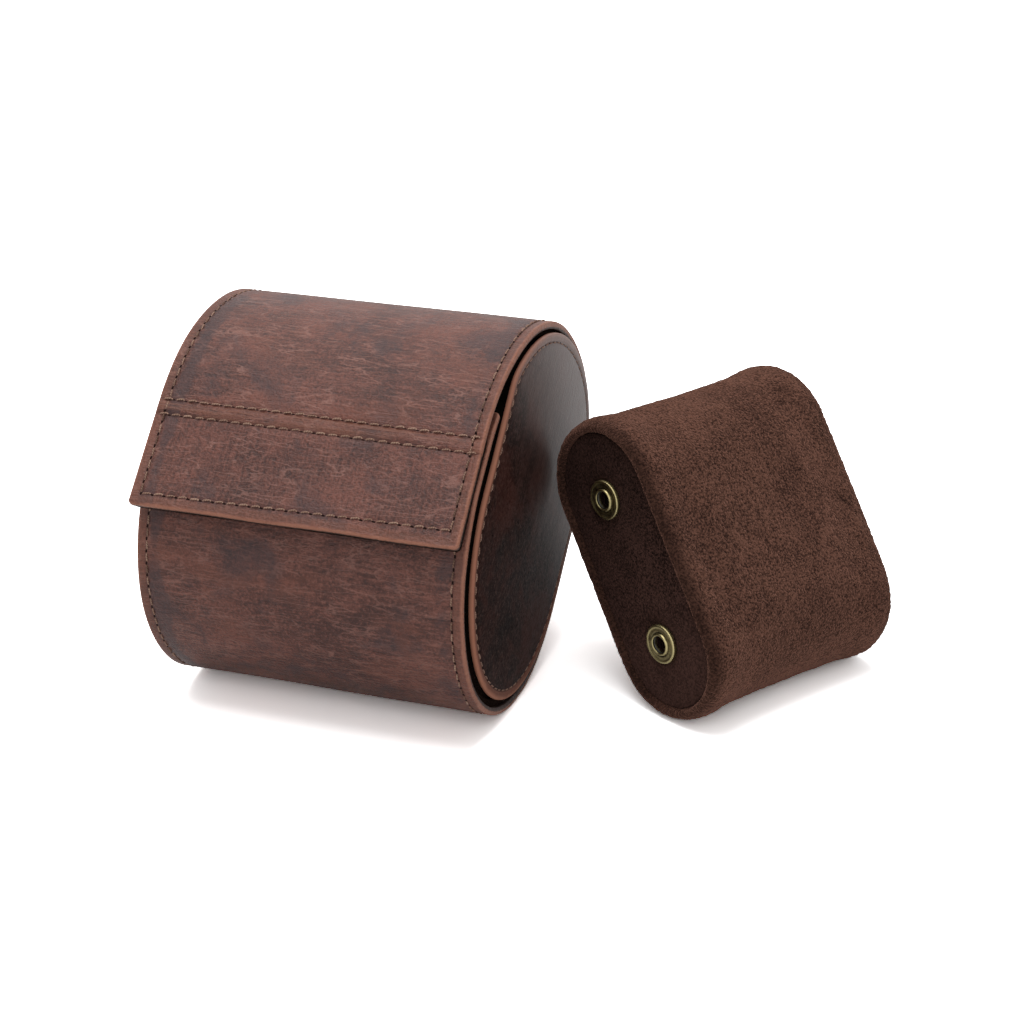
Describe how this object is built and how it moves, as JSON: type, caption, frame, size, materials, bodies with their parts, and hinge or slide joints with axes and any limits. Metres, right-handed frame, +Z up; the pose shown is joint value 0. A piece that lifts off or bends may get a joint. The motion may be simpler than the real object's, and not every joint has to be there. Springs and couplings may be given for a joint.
{
  "type": "watch travel case",
  "caption": "Oval leather travel case for a wristwatch, with a lid that ends in a magnetic flap, sewn end panels, and a suede watch pillow standing beside it.",
  "frame": {"origin": "middle of the flat on the lower round that the closed case rests on", "axes": "+Z up; X along the case, with the pillow on the +X side; -Y is the side that the flap closes on"},
  "size_m": [0.1685, 0.1186, 0.093],
  "materials": {
    "wrap_leather": "waxed pull-up leather with fine creases and burnished edges",
    "panel_leather": "flat waxed leather with a cool sheen and a burnished rim",
    "lining_suede": "dark brown suede",
    "pillow_suede": "brown microfibre suede with a brushed nap",
    "board": "plain grey-brown fibre board",
    "foam": "open-cell upholstery foam",
    "magnet": "nickel plating",
    "brass": "antique brass, darkened in its recesses",
    "steel": "plain steel"
  },
  "bodies": {
    "case": {"body_leather": "wrap_leather", "body_board": "board", "body_lining": "lining_suede", "body_magnets": "magnet", "panel_leather_left": "panel_leather", "panel_leather_right": "panel_leather", "panel_board_left": "board", "panel_board_right": "board", "panel_lining_left": "lining_suede", "panel_lining_right": "lining_suede", "corner_band_left": "lining_suede", "corner_band_right": "lining_suede", "snap_studs": "brass", "stud_posts": "steel"},
    "lid": {"lid_leather": "wrap_leather", "lid_board": "board", "lid_lining": "lining_suede"},
    "flap": {"flap_leather": "wrap_leather", "flap_board": "board", "flap_lining": "lining_suede", "flap_magnets": "magnet"},
    "pillow": {"pillow_foam": "foam", "pillow_sleeve": "pillow_suede", "pillow_disc_near": "pillow_suede", "pillow_disc_far": "pillow_suede", "pillow_board_near": "board", "pillow_board_far": "board", "snap_sockets": "brass", "socket_springs": "steel", "socket_caps": "brass"}
  },
  "joints": [
    {"name": "lid_hinge", "type": "hinge", "parent": "case", "child": "lid", "pos_m": [0, 0.04847, 0.03093], "axis": [-1, 0, 0], "range_deg": [0, 100]},
    {"name": "flap_hinge", "type": "hinge", "parent": "lid", "child": "flap", "pos_m": [0, -0.02327, 0.07884], "axis": [-1, 0, 0], "range_deg": [0, 110]},
    {"name": "pillow_lift", "type": "slide", "parent": "case", "child": "pillow", "axis": [0, 0, 1], "range_m": [0, 0.1]}
  ]
}
